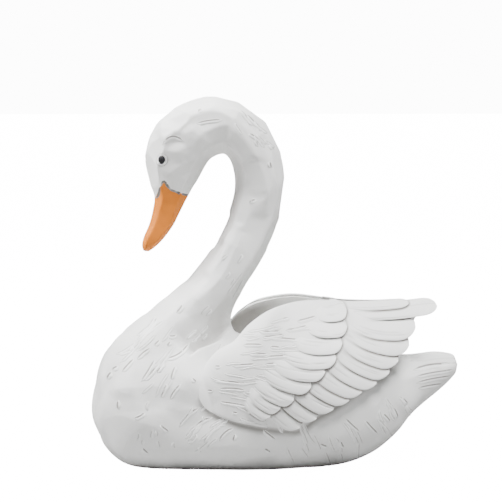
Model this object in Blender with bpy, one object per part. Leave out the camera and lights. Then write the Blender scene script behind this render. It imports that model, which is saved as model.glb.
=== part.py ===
"""A sitting swan, cast in one piece and painted, with a whittled surface.

The swan faces -X, up is +Z, and the origin is on the floor under the middle of its length.
Its pose and carving are given in hundredths of its own length (x), height (z) and half width (y).
"""

from collections import namedtuple

import bmesh
import bpy
import numpy as np

# Overall size, in metres
LENGTH = 0.180
HEIGHT = 0.179
WIDTH = 0.096

# Thickness of the feathers, the wings and the carving, in metres
FLIGHT_THICKNESS = 0.0032
COVERT_THICKNESS = 0.0042
FEATHER_STEP = 0.0016
FEATHER_CROWN = 0.0006
WING_ROOT_THICKNESS = 0.0150
WING_EDGE_THICKNESS = 0.0050
WING_BACKING_INSET = 0.0012
WING_PAD_HEIGHT = 0.0022
WING_PAD_DEPTH = 0.0030
WING_PAD_INSET = 0.0006
FLIGHT_LIFT = 0.0008
FACET_DEPTH = 0.0007
FACET_STOCK = 0.0004
FACET_REACH = 0.0120
SHOULDER_SWELL = 0.0045
TAIL_GROOVE_DEPTH = 0.0011

# Numbers of feathers, and how finely each form is divided
FLIGHT_FEATHERS = 10
COVERTS = 9
BODY_RINGS = 60
RING_POINTS = 24
WING_RINGS = 12
FACET_SEED = 7

# The sections of the body, neck and head: where each meets the back's outline and the front's,
# half its width, how square it is, and how far its widest place lies toward the front
Section = namedtuple("Section", "back front half_width square low")
BODY = (
    Section((18.7, 68.7), (23.6, 69.2), 9, 2.0, 0.0),
    Section((17.4, 73.1), (26.3, 72.8), 17, 2.1, 0.0),
    Section((16.0, 77.2), (28.2, 76.3), 21, 2.2, 0.0),
    Section((14.8, 82.6), (30.6, 80.9), 24, 2.2, 0.0),
    Section((15.7, 87.8), (32.1, 83.1), 26, 2.2, 0.0),
    Section((18.3, 92.4), (33.6, 84.1), 27, 2.1, 0.0),
    Section((23.7, 97.3), (34.9, 84.6), 27, 2.1, 0.0),
    Section((32.6, 100.0), (36.4, 84.6), 26, 2.2, 0.0),
    Section((40.8, 97.9), (37.8, 83.2), 26, 2.2, 0.0),
    Section((47.9, 92.2), (38.8, 80.6), 25, 2.2, 0.0),
    Section((51.6, 83.9), (39.3, 77.1), 24, 2.2, 0.0),
    Section((52.4, 75.4), (38.8, 72.4), 24, 2.2, 0.0),
    Section((50.3, 64.3), (36.2, 64.6), 25, 2.2, 0.0),
    Section((46.1, 55.4), (32.3, 57.7), 29, 2.2, 0.0),
    Section((41.0, 46.8), (25.5, 49.7), 36, 2.1, 0.0),
    Section((38.4, 41.0), (14.4, 41.0), 48, 2.1, 0.10),
    Section((38.8, 36.7), (4.4, 31.5), 60, 2.1, 0.15),
    Section((41.3, 34.7), (0.6, 20.5), 70, 2.2, 0.18),
    Section((46.5, 33.3), (0.8, 10.0), 78, 2.2, 0.18),
    Section((53.1, 32.9), (8.4, 0.4), 85, 2.2, 0.18),
    Section((61.1, 32.6), (26.7, -1.8), 90, 2.2, 0.16),
    Section((69.4, 32.0), (48.7, -2.2), 90, 2.2, 0.14),
    Section((77.7, 30.8), (68.8, -0.3), 80, 2.2, 0.10),
    Section((84.6, 29.3), (81.3, 5.4), 58, 2.2, 0.05),
    Section((90.2, 29.1), (88.2, 13.5), 47, 2.2, 0.0),
    Section((95.2, 29.3), (94.8, 19.3), 44, 2.2, 0.0),
    Section((99.2, 28.8), (98.5, 22.9), 33, 2.1, 0.0),
    Section((100.1, 27.2), (99.9, 25.8), 17, 2.0, 0.0),
)
TAIL_FIRST = 23
TAIL_GROOVES = (30, 60, 90, 120)
NECK_PLANES = 6
PLANE_SHARE = 0.7

# Where the breast swells out to meet the wing's shoulder: the swell's middle and its reach each way
SHOULDER = (27, 25)
SHOULDER_REACH = (10, 12)

# The sections of the bill, from inside the head to the tip
BILL = (
    Section((18.8, 76.9), (25.8, 75.8), 13, 2.3, 0.0),
    Section((17.6, 72.4), (26.2, 73.2), 14, 2.5, 0.1),
    Section((17.0, 69.3), (24.4, 69.5), 13.5, 2.6, 0.1),
    Section((16.0, 65.4), (22.1, 65.1), 12, 2.6, 0.1),
    Section((14.5, 61.9), (19.2, 61.2), 10.5, 2.5, 0.1),
    Section((14.0, 59.6), (17.1, 59.2), 8, 2.3, 0.0),
    Section((14.4, 58.2), (15.7, 58.2), 4, 2.0, 0.0),
)

# The wing, from its shoulder to its rear: place along the length, lower and upper edge, and half
# the swan's width over the wing's lower part and at its upper edge
Wing = namedtuple("Wing", "x low top wide_half top_half")
WING = (
    Wing(28.0, 20.5, 24.5, 78, 78),
    Wing(29.6, 18.0, 29.0, 80, 78),
    Wing(33.0, 15.8, 33.2, 84, 78),
    Wing(37.5, 14.3, 35.8, 88, 78),
    Wing(41.5, 13.5, 40.0, 91, 74),
    Wing(46.0, 12.8, 43.0, 93, 63),
    Wing(52.0, 13.2, 44.8, 94, 47),
    Wing(58.0, 17.0, 45.5, 94, 37),
    Wing(66.0, 21.4, 45.3, 92, 32),
    Wing(72.0, 24.4, 44.7, 88, 28),
    Wing(78.0, 28.6, 44.3, 81, 25),
    Wing(84.0, 35.0, 43.9, 73, 23),
    Wing(88.0, 40.2, 43.6, 66, 22),
)
WING_WIDEST = 17
WING_PAD_SHARE = 0.52

# The feathers along the wing's upper edge, the lower and longer of the two last
Feather = namedtuple("Feather", "tip length half_width slope")
TOP_FEATHERS = (
    Feather((85.9, 44.0), 20, 1.1, 0),
    Feather((93.6, 43.3), 27, 2.1, -2),
)
TOP_BEND = 0.03

# The line that the tips of each row's feathers follow, and the feathers' length, half width and
# slope, from the uppermost feather to the lowest
FLIGHT_TIPS = (
    (87.1, 38.0), (84.8, 33.4), (81.4, 29.7), (78.7, 26.8), (75.0, 24.3),
    (70.9, 22.3), (67.5, 20.3), (63.2, 18.0), (58.6, 15.5), (54.4, 13.2),
)
FLIGHT_LENGTHS = (24, 20, 16)
FLIGHT_HALF_WIDTHS = (3.1, 3.0, 2.8)
FLIGHT_SLOPES = (14, 23, 31, 34, 36, 36, 38, 41, 47, 51)
FLIGHT_BEND = 0.10
COVERT_TIPS = (
    (68.2, 42.9), (67.8, 38.8), (66.1, 34.8), (64.2, 31.2), (61.0, 27.7),
    (57.2, 24.0), (52.6, 20.6), (49.0, 18.3), (46.5, 16.4),
)
COVERT_LENGTHS = (10, 15, 17, 16, 12, 9)
COVERT_HALF_WIDTHS = (2.2, 2.4, 2.5, 2.5, 2.3)
COVERT_SLOPES = (0, 6, 6, 7, 13, 22, 30, 37, 42)
COVERT_BEND = 0.08

PAINT = (0.86, 0.86, 0.84, 1.0)


def place(x, z):
    """World x and z, in metres, of a place given in hundredths of the length and the height."""
    return (np.asarray(x, float) / 100 - 0.5) * LENGTH, np.asarray(z, float) / 100 * HEIGHT


def half(y):
    """World half width of a share of the swan's half width in hundredths."""
    return np.asarray(y, float) / 100 * WIDTH / 2


def through(keys, count):
    """Rows of numbers at `count` even places along a smooth curve through the key rows."""
    keys = np.asarray(keys, float)
    ends = np.vstack([2 * keys[0] - keys[1], keys, 2 * keys[-1] - keys[-2]])
    places = np.linspace(0, len(keys) - 1, count)
    first = np.minimum(places.astype(int), len(keys) - 2)
    t = (places - first)[:, None]
    a, b, c, d = (ends[first + step] for step in range(4))
    return 0.5 * (2 * b + (c - a) * t + (2 * a - 5 * b + 4 * c - d) * t**2 + (3 * b - a - 3 * c + d) * t**3)


def collection(name, hidden=False):
    made = bpy.data.collections.new(name)
    made.hide_render = hidden
    bpy.context.scene.collection.children.link(made)
    return made


def mesh_object(name, rings, group):
    """A closed mesh through rings with equal numbers of points, capped at both ends."""
    form = bmesh.new()
    loops = [[form.verts.new(point) for point in ring] for ring in rings]
    for near, far in zip(loops, loops[1:]):
        for i in range(len(near)):
            k = (i + 1) % len(near)
            form.faces.new((near[i], near[k], far[k], far[i]))
    for loop in (loops[0], loops[-1]):
        centre = form.verts.new(np.mean([point.co for point in loop], axis=0))
        for i in range(len(loop)):
            form.faces.new((loop[i], loop[(i + 1) % len(loop)], centre))
    bmesh.ops.recalc_face_normals(form, faces=form.faces)
    mesh = bpy.data.meshes.new(name)
    form.to_mesh(mesh)
    form.free()
    made = bpy.data.objects.new(name, mesh)
    group.objects.link(made)
    return made


def section_rings(sections, count, points):
    """Rings, as an array of (ring, point, xyz), along a form given by its sections."""
    rows = [(*s.back, *s.front, s.half_width, s.square, s.low) for s in sections]
    back_x, back_z, front_x, front_z, width, square, low = through(rows, count).T[:, :, None]
    back_x, back_z = place(back_x, back_z)
    front_x, front_z = place(front_x, front_z)
    turn = np.linspace(0, 2 * np.pi, points, endpoint=False)[None, :]
    side = np.pi / NECK_PLANES
    flat = np.cos(side) / np.cos(turn % (2 * side) - side)
    planed = 1 - PLANE_SHARE * (1 - flat) * np.clip(1.4 - width / 50, 0, 1)
    up = planed * np.sign(np.cos(turn)) * np.abs(np.cos(turn)) ** (2 / square)
    out = planed * np.sign(np.sin(turn)) * np.abs(np.sin(turn)) ** (2 / square)
    share = (up + 1) / 2
    x = front_x + (back_x - front_x) * share
    z = front_z + (back_z - front_z) * share
    y = half(width) * out * (1 - low * up)
    middle_x, middle_z = place(*SHOULDER)
    reach_x, reach_z = SHOULDER_REACH[0] / 100 * LENGTH, SHOULDER_REACH[1] / 100 * HEIGHT
    off = ((x - middle_x) / reach_x) ** 2 + ((z - middle_z) / reach_z) ** 2
    y = y + SHOULDER_SWELL * np.clip(1 - off, 0, 1) ** 2 * out
    return np.stack([x, y, z], axis=2)


def groove_tail(rings, sections):
    """Presses the lines between the tail's feathers into the last rings, deeper toward the end."""
    count, points = rings.shape[:2]
    first = int(round(TAIL_FIRST / (len(sections) - 1) * (count - 1)))
    grown = np.clip((np.arange(count) - first) / (count - 1 - first), 0, 1)
    middles = rings.mean(axis=1, keepdims=True)
    outward = rings - middles
    outward /= np.linalg.norm(outward, axis=2, keepdims=True)
    turns = np.degrees(np.linspace(0, 2 * np.pi, points, endpoint=False))
    grooved = np.isin(np.minimum(turns, 360 - turns).round(), TAIL_GROOVES)
    depth = TAIL_GROOVE_DEPTH * np.sqrt(grown)[:, None] * grooved[None, :]
    return rings - outward * depth[:, :, None]


def pare(rings, seed):
    """Cuts flat facets, as a knife leaves them: each takes off what stands above a plane."""
    chance = np.random.default_rng(seed)
    count, points = rings.shape[:2]
    along = np.gradient(rings, axis=0)
    around = np.roll(rings, -1, axis=1) - np.roll(rings, 1, axis=1)
    normals = np.cross(around, along)
    normals /= np.linalg.norm(normals, axis=2, keepdims=True) + 1e-12
    middles = rings.mean(axis=1, keepdims=True)
    normals *= np.sign(np.sum(normals * (rings - middles), axis=2, keepdims=True))
    rings = rings + FACET_STOCK * normals
    pared = rings.copy()
    for ring in range(2, count - 2, 2):
        start = chance.integers(0, 4)
        for point in range(start, points, 4):
            centre = rings[ring, point]
            normal = normals[ring, point]
            near = np.linalg.norm(rings - centre, axis=2) < FACET_REACH
            facing = normals @ normal > 0.5
            depth = FACET_DEPTH * chance.uniform(0.6, 1.4)
            above = (pared - centre) @ normal + depth
            if above[near & facing].max() > 1.2 * depth:
                continue
            cut = np.where(near & facing, np.clip(above, 0, None), 0)
            pared -= cut[:, :, None] * normal
    return pared


def wing_face(x, z):
    """Half the swan's width over the wing's outer face, at world x and z."""
    rows = through(WING, 200)
    station_x, _ = place(rows[:, 0], 0)
    _, top = place(0, np.interp(x, station_x, rows[:, 2]))
    _, widest = place(0, WING_WIDEST)
    wide = half(np.interp(x, station_x, rows[:, 3]))
    upper = half(np.interp(x, station_x, rows[:, 4]))
    share = (z - widest) / np.maximum(top - widest, 0.2 * HEIGHT)
    return upper + (wide - upper) * (1 - share**2)


def wing_slab(name, inset, raised, thickness, share, group):
    """A closed slab under the feathers, over this share of the wing's course from the shoulder.

    Its outer face lies `raised` above the wing's face, domed toward its edges. Its inner face lies
    under the wing's by the thickness, given at its lower shoulder and at its other edges.
    """
    rows = through(WING, 60)
    keep = np.linspace(0, share, WING_RINGS)
    x, low, top = (np.interp(keep, np.linspace(0, 1, len(rows)), rows[:, k]) for k in (0, 1, 2))
    across = np.array([0.0, 0.03, 0.12, 0.3, 0.5, 0.7, 0.88, 0.97, 1.0])
    dome = np.array([-0.5, 0.0, 0.8, 1.0, 1.0, 1.0, 0.8, 0.0, -0.5])
    rings = []
    for ring_x, ring_low, ring_top, place_along in zip(x, low, top, keep):
        world_x, bottom = place(ring_x, ring_low)
        _, crest = place(0, ring_top)
        bottom, crest = bottom + inset, crest - inset
        z = bottom + (crest - bottom) * across
        outer = wing_face(world_x, z) + raised * dome
        rooted = np.clip(1 - 1.25 * place_along, 0, 1)
        extra = (thickness[0] - thickness[1]) * rooted * (1 - across[1:-1])
        inner = wing_face(world_x, z[1:-1]) - thickness[1] - extra
        face = [(world_x, -y, height) for y, height in zip(outer, z)]
        backing = [(world_x, -y, height) for y, height in zip(inner, z[1:-1])]
        rings.append(face + backing[::-1])
    return mesh_object(name, rings, group)


def feather_plate(name, feather, bend, lift, thickness, group):
    """One shingle on the wing: its lower edge stands out over the next feather down."""
    tip_x, tip_z = place(*feather.tip)
    length = feather.length / 100 * LENGTH
    half_width = feather.half_width / 100 * LENGTH
    slope = np.radians(feather.slope)
    course = np.array([np.cos(slope), -np.sin(slope)])
    side = np.array([course[1], -course[0]])
    along = np.array([0.0, 0.35, 0.6, 0.8, 0.92, 0.98, 1.0])
    breadth = np.array([0.75, 0.95, 1.0, 0.98, 0.88, 0.60, 0.28])
    across = np.array([-1.0, -0.4, 0.4, 1.0])
    rings = []
    for t, b in zip(along, breadth):
        middle = np.array([tip_x, tip_z]) - course * length * (1 - t)
        middle = middle + side * bend * length * 4 * t * (1 - t)
        points = middle + side * (across * b * half_width)[:, None]
        height = lift + FEATHER_STEP * across / 2 + FEATHER_CROWN * (1 - across**2)
        outer = wing_face(points[:, 0], points[:, 1]) + height
        inner = outer[[0, -1]] - thickness
        face = [(x, -y, z) for (x, z), y in zip(points, outer)]
        under = [(x, -y, z) for (x, z), y in zip(points[[0, -1]], inner)]
        rings.append(face + under[::-1])
    return mesh_object(name, rings, group)


def feather_row(tips, lengths, half_widths, slopes):
    """A row of overlapping feathers, from the uppermost to the lowest."""
    share = np.linspace(0, 1, len(tips))
    sizes = [
        np.interp(share, np.linspace(0, 1, len(keys)), keys)
        for keys in (lengths, half_widths, slopes)
    ]
    return [Feather(*row) for row in zip(tips, *sizes)]


def wing(group):
    """The swan's left wing, at -Y: a backing, the flight feathers, the pad and its coverts."""
    backing = (WING_ROOT_THICKNESS, WING_EDGE_THICKNESS)
    wing_slab("wing_backing", WING_BACKING_INSET, 0.0, backing, 1.0, group)
    pad = (WING_PAD_DEPTH, WING_PAD_DEPTH)
    wing_slab("wing_pad", WING_PAD_INSET, WING_PAD_HEIGHT, pad, WING_PAD_SHARE, group)
    flight_tips = through(FLIGHT_TIPS, FLIGHT_FEATHERS)
    flights = feather_row(flight_tips, FLIGHT_LENGTHS, FLIGHT_HALF_WIDTHS, FLIGHT_SLOPES)
    covert_tips = through(COVERT_TIPS, COVERTS)
    coverts = feather_row(covert_tips, COVERT_LENGTHS, COVERT_HALF_WIDTHS, COVERT_SLOPES)
    for name, feathers, bend, lift, thickness in (
        ("top_feather", TOP_FEATHERS, TOP_BEND, FLIGHT_LIFT, FLIGHT_THICKNESS),
        ("flight_feather", flights, FLIGHT_BEND, FLIGHT_LIFT, FLIGHT_THICKNESS),
        ("covert", coverts, COVERT_BEND, WING_PAD_HEIGHT, COVERT_THICKNESS),
    ):
        for i, feather in enumerate(feathers):
            feather_plate(f"{name}_{i + 1}", feather, bend, lift, thickness, group)


def mirrored(group):
    """The same forms on the swan's other side."""
    for original in list(group.objects):
        copy = original.copy()
        copy.data = original.data.copy()
        copy.name = "right_" + original.name
        copy.data.transform(((1, 0, 0, 0), (0, -1, 0, 0), (0, 0, 1, 0), (0, 0, 0, 1)))
        copy.data.flip_normals()
        group.objects.link(copy)


def floor_cutter(group):
    """Everything under the floor, which the flat underside is cut by."""
    form = bmesh.new()
    bmesh.ops.create_cube(form, size=1)
    bmesh.ops.scale(form, vec=(2 * LENGTH, 2 * WIDTH, HEIGHT / 2), verts=form.verts)
    bmesh.ops.translate(form, vec=(0, 0, -HEIGHT / 4), verts=form.verts)
    mesh = bpy.data.meshes.new("floor")
    form.to_mesh(mesh)
    form.free()
    cutter = bpy.data.objects.new("floor", mesh)
    group.objects.link(cutter)
    return cutter


def painted(name, colour, roughness):
    paint = bpy.data.materials.new(name)
    paint.use_nodes = True
    shader = paint.node_tree.nodes["Principled BSDF"]
    shader.inputs["Base Color"].default_value = colour
    shader.inputs["Roughness"].default_value = roughness
    shader.inputs["Metallic"].default_value = 0.0
    return paint


def boolean(swan, name, operation, group=None, cutter=None):
    joined = swan.modifiers.new(name, "BOOLEAN")
    joined.operation = operation
    joined.solver = "EXACT"
    if group:
        joined.operand_type = "COLLECTION"
        joined.collection = group
    else:
        joined.object = cutter


def main():
    for old in list(bpy.data.objects):
        bpy.data.objects.remove(old)
    parts = collection("swan_statue")
    forms = collection("forms", hidden=True)
    cutters = collection("cutters", hidden=True)

    wing(forms)
    mirrored(forms)
    bill = mesh_object("bill", section_rings(BILL, 12, 16), forms)
    bill.data.shade_smooth()
    floor = floor_cutter(cutters)
    for helper in [*forms.objects, *cutters.objects]:
        helper.hide_render = True
        helper.display_type = "WIRE"

    rings = groove_tail(section_rings(BODY, BODY_RINGS, RING_POINTS), BODY)
    swan = mesh_object("swan", pare(rings, FACET_SEED), parts)
    swan.data.shade_smooth()
    boolean(swan, "cut the underside flat", "DIFFERENCE", cutter=floor)
    boolean(swan, "join the wings and the bill", "UNION", group=forms)
    swan.data.materials.append(painted("white_paint", PAINT, 0.55))


main()
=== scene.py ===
"""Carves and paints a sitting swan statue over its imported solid, and lights it on a plain floor.

The swan faces -X, up is +Z and the origin is on the floor under the middle of its length. Places
on it are given in hundredths of its length (x), its height (z) and half its width (y).
"""

import functools
import math
from collections import namedtuple

import bpy
import numpy as np
from bpy.props import FloatProperty, FloatVectorProperty, IntProperty, PointerProperty
from mathutils.bvhtree import BVHTree
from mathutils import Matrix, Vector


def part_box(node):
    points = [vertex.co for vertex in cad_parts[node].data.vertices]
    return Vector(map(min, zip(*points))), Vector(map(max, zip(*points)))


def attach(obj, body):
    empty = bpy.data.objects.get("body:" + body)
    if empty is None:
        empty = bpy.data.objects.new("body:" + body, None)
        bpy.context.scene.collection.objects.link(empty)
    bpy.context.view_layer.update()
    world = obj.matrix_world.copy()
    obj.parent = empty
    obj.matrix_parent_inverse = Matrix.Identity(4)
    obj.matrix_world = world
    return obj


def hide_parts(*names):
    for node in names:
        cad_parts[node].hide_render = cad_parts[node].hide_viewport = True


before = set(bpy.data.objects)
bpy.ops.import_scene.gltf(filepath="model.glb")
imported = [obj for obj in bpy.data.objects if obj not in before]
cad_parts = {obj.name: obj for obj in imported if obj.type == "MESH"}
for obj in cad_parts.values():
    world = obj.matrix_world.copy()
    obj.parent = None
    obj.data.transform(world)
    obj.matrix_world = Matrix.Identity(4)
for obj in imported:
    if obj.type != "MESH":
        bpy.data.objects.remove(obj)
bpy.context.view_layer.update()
LOW, HIGH = (np.array(corner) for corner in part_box("swan"))

bl_info = {
    "name": "Carved Swan Statue",
    "version": (1, 0, 0),
    "blender": (4, 5, 0),
    "location": "3D View > Sidebar > Swan",
    "description": "Carves, feathers and paints a sitting swan statue",
    "category": "Object",
}

# Overall size, in metres
LENGTH = 0.180
HEIGHT = 0.179
WIDTH = 0.096

# The sections of the bill, head, neck and body: where each meets the back's outline and the
# front's, half its width, how square it is, and how far its widest place lies toward the front
Section = namedtuple("Section", "back front half_width square low")
BODY = (
    Section((14.4, 58.2), (15.7, 58.2), 4, 2.0, 0.0),
    Section((14.0, 59.6), (17.1, 59.2), 8, 2.3, 0.0),
    Section((14.5, 61.9), (19.2, 61.2), 10.5, 2.5, 0.1),
    Section((16.0, 65.4), (22.1, 65.1), 12, 2.6, 0.1),
    Section((17.0, 69.3), (24.4, 69.5), 13.5, 2.5, 0.1),
    Section((17.4, 73.1), (26.3, 72.8), 17, 2.1, 0.0),
    Section((16.0, 77.2), (28.2, 76.3), 21, 2.2, 0.0),
    Section((14.8, 82.6), (30.6, 80.9), 24, 2.2, 0.0),
    Section((15.7, 87.8), (32.1, 83.1), 26, 2.2, 0.0),
    Section((18.3, 92.4), (33.6, 84.1), 27, 2.1, 0.0),
    Section((23.7, 97.3), (34.9, 84.6), 27, 2.1, 0.0),
    Section((32.6, 100.0), (36.4, 84.6), 26, 2.2, 0.0),
    Section((40.8, 97.9), (37.8, 83.2), 26, 2.2, 0.0),
    Section((47.9, 92.2), (38.8, 80.6), 25, 2.2, 0.0),
    Section((51.6, 83.9), (39.3, 77.1), 24, 2.2, 0.0),
    Section((52.4, 75.4), (38.8, 72.4), 24, 2.2, 0.0),
    Section((50.3, 64.3), (36.2, 64.6), 25, 2.2, 0.0),
    Section((46.1, 55.4), (32.3, 57.7), 29, 2.2, 0.0),
    Section((41.0, 46.8), (25.5, 49.7), 36, 2.1, 0.0),
    Section((38.4, 41.0), (14.4, 41.0), 48, 2.1, 0.10),
    Section((38.8, 36.7), (4.4, 31.5), 60, 2.1, 0.15),
    Section((41.3, 34.7), (0.6, 20.5), 70, 2.2, 0.18),
    Section((46.5, 33.3), (0.8, 10.0), 78, 2.2, 0.18),
    Section((53.1, 32.9), (8.4, 0.4), 85, 2.2, 0.18),
    Section((61.1, 32.6), (26.7, -1.8), 90, 2.2, 0.16),
    Section((69.4, 32.0), (48.7, -2.2), 90, 2.2, 0.14),
    Section((77.7, 30.8), (68.8, -0.3), 80, 2.2, 0.10),
    Section((84.6, 29.3), (81.3, 5.4), 58, 2.2, 0.05),
    Section((90.2, 29.1), (88.2, 13.5), 47, 2.2, 0.0),
    Section((95.2, 29.3), (94.8, 19.3), 44, 2.2, 0.0),
    Section((99.2, 28.8), (98.5, 22.9), 33, 2.1, 0.0),
    Section((100.1, 27.2), (99.9, 25.8), 17, 2.0, 0.0),
)

# The knife's planes around the neck, and how far they are cut
NECK_PLANES = 6
PLANE_SHARE = 0.7

# The knife's facets on the body: the stock that they are cut from, how blunt their edges are, and
# how many places along the body and around it they are picked from
FACET_STOCK = 0.0004
FACET_BLUNT = 0.00006
FACET_RINGS = 66
FACET_AROUND = 24

# The broad cuts on the body: how wide they are, how many places are tried as their middles, how
# softly they meet as a share of their width, and how far they may raise or lower it
PATCH_SIZE = 0.018
PATCH_TRIES = 20000
PATCH_BLEND = 0.12
PATCH_LIMIT = 0.0008

# The tail's grooves: where they start among the sections, their turns from the back in degrees,
# how deep they are and how far each reaches to its sides
TAIL_FIRST = 27.3
TAIL_GROOVES = (28, 55)
TAIL_GROOVE_DEPTH = 0.0009
TAIL_GROOVE_WIDTH = 0.0007

# The longest edges in the body's mesh: along its marks, along its ridges, on the head and neck,
# below them, and where nothing shows
MARKED_EDGE = 0.0008
RIDGED_EDGE = 0.0013
UPPER_EDGE = 0.0014
LOWER_EDGE = 0.0019
HIDDEN_EDGE = 0.0040

# Where the breast swells out to meet the wing's shoulder: its middle, reach each way, and depth
SHOULDER = (27, 25)
SHOULDER_REACH = (10, 12)
SHOULDER_SWELL = 0.0045

# The wing, from its shoulder to its rear: place along the length, lower and upper edge, and half
# the swan's width over the wing's lower part and at its upper edge
Wing = namedtuple("Wing", "x low top wide_half top_half")
WING = (
    Wing(28.0, 20.5, 24.5, 78, 78),
    Wing(29.6, 18.0, 29.0, 80, 78),
    Wing(33.0, 15.8, 33.2, 84, 78),
    Wing(37.5, 14.3, 35.8, 88, 78),
    Wing(41.5, 13.5, 40.0, 91, 74),
    Wing(46.0, 12.8, 43.0, 93, 63),
    Wing(52.0, 13.2, 44.8, 94, 47),
    Wing(58.0, 17.0, 45.5, 94, 37),
    Wing(66.0, 21.4, 45.3, 92, 32),
    Wing(72.0, 24.4, 44.7, 88, 28),
    Wing(78.0, 28.6, 44.3, 81, 25),
    Wing(84.0, 35.0, 43.9, 73, 23),
    Wing(88.0, 40.2, 43.6, 66, 22),
)

# The height at which the wing is widest, and how many rows its curves are divided into
WING_WIDEST = 17
WING_ROWS = 240

# The wing's backing: its thickness at the lower shoulder and elsewhere, and how far it stays inside
# the wing's outline. The pad on it: its thickness, how far it stays inside, how much of the wing's
# length it covers, and how high it stands
WING_ROOT_THICKNESS = 0.0150
WING_EDGE_THICKNESS = 0.0050
WING_BACKING_INSET = 0.0012
WING_PAD_THICKNESS = 0.003
WING_PAD_INSET = 0.0006
WING_PAD_SHARE = 0.70
WING_PAD_HEIGHT = 0.0022

# How much lower the right wing's upper edge lies at the rear
RIGHT_WING_DROOP = 0.0016

# The feathers: tip, length, half width and the slope in degrees that they point down by. A row's
# bend is how far its feathers bow, as a share of their length
Feather = namedtuple("Feather", "tip length half_width slope")
TOP_FEATHERS = (
    Feather((85.9, 44.0), 20, 1.1, 0),
    Feather((93.6, 43.3), 27, 2.1, -2),
)
TOP_BEND = 0.03
FLIGHT_FEATHERS = 10
FLIGHT_TIPS = (
    (87.1, 38.0), (84.8, 33.4), (81.4, 29.7), (78.7, 26.8), (75.0, 24.3),
    (70.9, 22.3), (67.5, 20.3), (63.2, 18.0), (58.6, 15.5), (54.4, 13.2),
)
FLIGHT_LENGTHS = (24, 20, 16)
FLIGHT_HALF_WIDTHS = (3.1, 3.0, 2.8)
FLIGHT_SLOPES = (14, 23, 31, 34, 36, 36, 38, 41, 47, 51)
FLIGHT_BEND = 0.10
COVERTS = 9
COVERT_TIPS = (
    (68.2, 42.9), (67.8, 38.8), (66.1, 34.8), (64.2, 31.2), (61.0, 27.7),
    (57.2, 24.0), (52.6, 20.6), (49.0, 18.3), (46.5, 16.4),
)
COVERT_LENGTHS = (10, 15, 17, 16, 12, 9)
COVERT_HALF_WIDTHS = (2.2, 2.4, 2.5, 2.5, 2.3)
COVERT_SLOPES = (0, 6, 6, 7, 13, 22, 30, 37, 42)
COVERT_BEND = 0.08
FEATHER_THICKNESS = 0.0032
FEATHER_STEP = 0.0022
FEATHER_CROWN = 0.0008
FLIGHT_LIFT = 0.0008
SEAM_WIDTH = 0.0009

# The barbs' lines on each feather, how deep they are, and how dark the painted shade in them is
BARBS = 6
BARB_DEPTH = 0.00018
BARB_TONE = 0.28

# Where the orange of the bill ends on the head, and the height that all of the bill lies above.
# Then the part of the head that this line is cut into: its lowest and highest place and its rear
BILL_LINE = (
    (14.0, 71.8), (17.6, 72.5), (18.6, 75.5), (19.6, 77.4), (21.3, 75.2), (22.6, 74.6),
    (26.0, 73.4), (30.0, 72.4),
)
BILL_LOW = 56
MUZZLE_LOW = 66
MUZZLE_TOP = 79
MUZZLE_BACK = 30

# The eye: its middle, the radius of the rim around it, how far its middle stands over the head's
# plain surface and its edge lies under it, and how much taller than wide it is
EYE = (19.0, 83.1)
EYE_RIM = 0.0023
EYE_BULGE = 0.0005
EYE_SINK = 0.0004
EYE_TALL = 1.3

# Where the wing's lower outline lies on the body, and how far and how dark the shade under it is
UNDER_WING = (
    (27.4, 21.0), (29.6, 17.6), (33.4, 15.3), (38.6, 13.6), (45.2, 12.3), (50.5, 11.8),
    (54.5, 11.9), (59.0, 15.0), (64.0, 17.6), (70.5, 21.9), (78.5, 26.0), (83.0, 31.0),
)
UNDER_REACH = 0.0028
UNDER_TONE = 0.75

# The knife's ridges, between the planes of the head, neck and breast: their lines, how high they
# stand and how far they reach to each side
RIDGES = (
    (((25.2, 83.5), (27.9, 87.1), (30.6, 90.6), (35.5, 92.4), (38.1, 91.5), (41.9, 87.6),
      (44.6, 83.0), (46.8, 76.5), (47.8, 67.5)), 0.0031, 0.0085),
    (((14.5, 88.5), (19.0, 92.3), (26.0, 95.6), (31.0, 96.1), (38.0, 95.8), (42.5, 93.5),
      (46.5, 88.5)), 0.0013, 0.0065),
    (((41.2, 73.5), (40.4, 69.0), (37.9, 63.0), (33.0, 55.5), (28.0, 49.5)), 0.0011, 0.0050),
    (((41.0, 63.5), (38.6, 58.7), (36.1, 53.4), (33.1, 49.4), (29.0, 46.0), (25.2, 42.0)),
     0.0022, 0.0085),
    (((14.8, 87.4), (19.2, 91.2), (25.3, 90.3), (29.3, 93.0)), 0.0006, 0.0050),
    (((19.9, 78.2), (22.9, 80.9), (29.3, 84.4)), 0.0009, 0.0050),
    (((3.0, 21.0), (7.4, 22.5), (12.6, 23.4), (19.2, 23.6), (26.0, 22.5)), 0.0010, 0.0110),
    (((1.5, 13.0), (6.8, 15.7), (11.3, 14.8), (19.1, 12.4)), 0.0007, 0.0090),
)

# Folds, where one plane drops behind the next: their lines, how deep, and how far they rise again
FOLDS = (
    (((25.9, 31.1), (28.7, 32.9), (31.4, 33.6), (34.2, 34.6), (37.2, 36.6), (39.6, 39.2)),
     0.0030, 0.0170),
)

# Low bumps on both sides: their middles, reaches and heights
BUMPS = (((23.4, 85.0), 0.0055, 0.0011), ((20.5, 90.8), 0.0060, 0.0006))

# How a gouge's stroke is cut across, from its upper side to its lower: places in half widths, how
# far they rise as a share of the lip, how far their base lies off the surface in millimetres, and
# their tones, painted shade in the cut above 0 and a painted highlight on the lower lip below 0,
# with those of the border round the bill
STROKE_PLACES = (-1.8, -1.1, -0.6, 0.1, 0.9, 3.0)
STROKE_RISE = (0.0, 0.3, 0.0, 0.0, 1.0, 0.0)
STROKE_BASE = (-0.06, 0.0, 0.02, 0.02, 0.0, -0.06)
STROKE_TONES = (0.0, 0.1, 1.0, 0.8, -1.0, 0.0)
BORDER_TONES = (0.5, 1.0, 1.0, 1.0, 1.0, 0.5)

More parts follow.
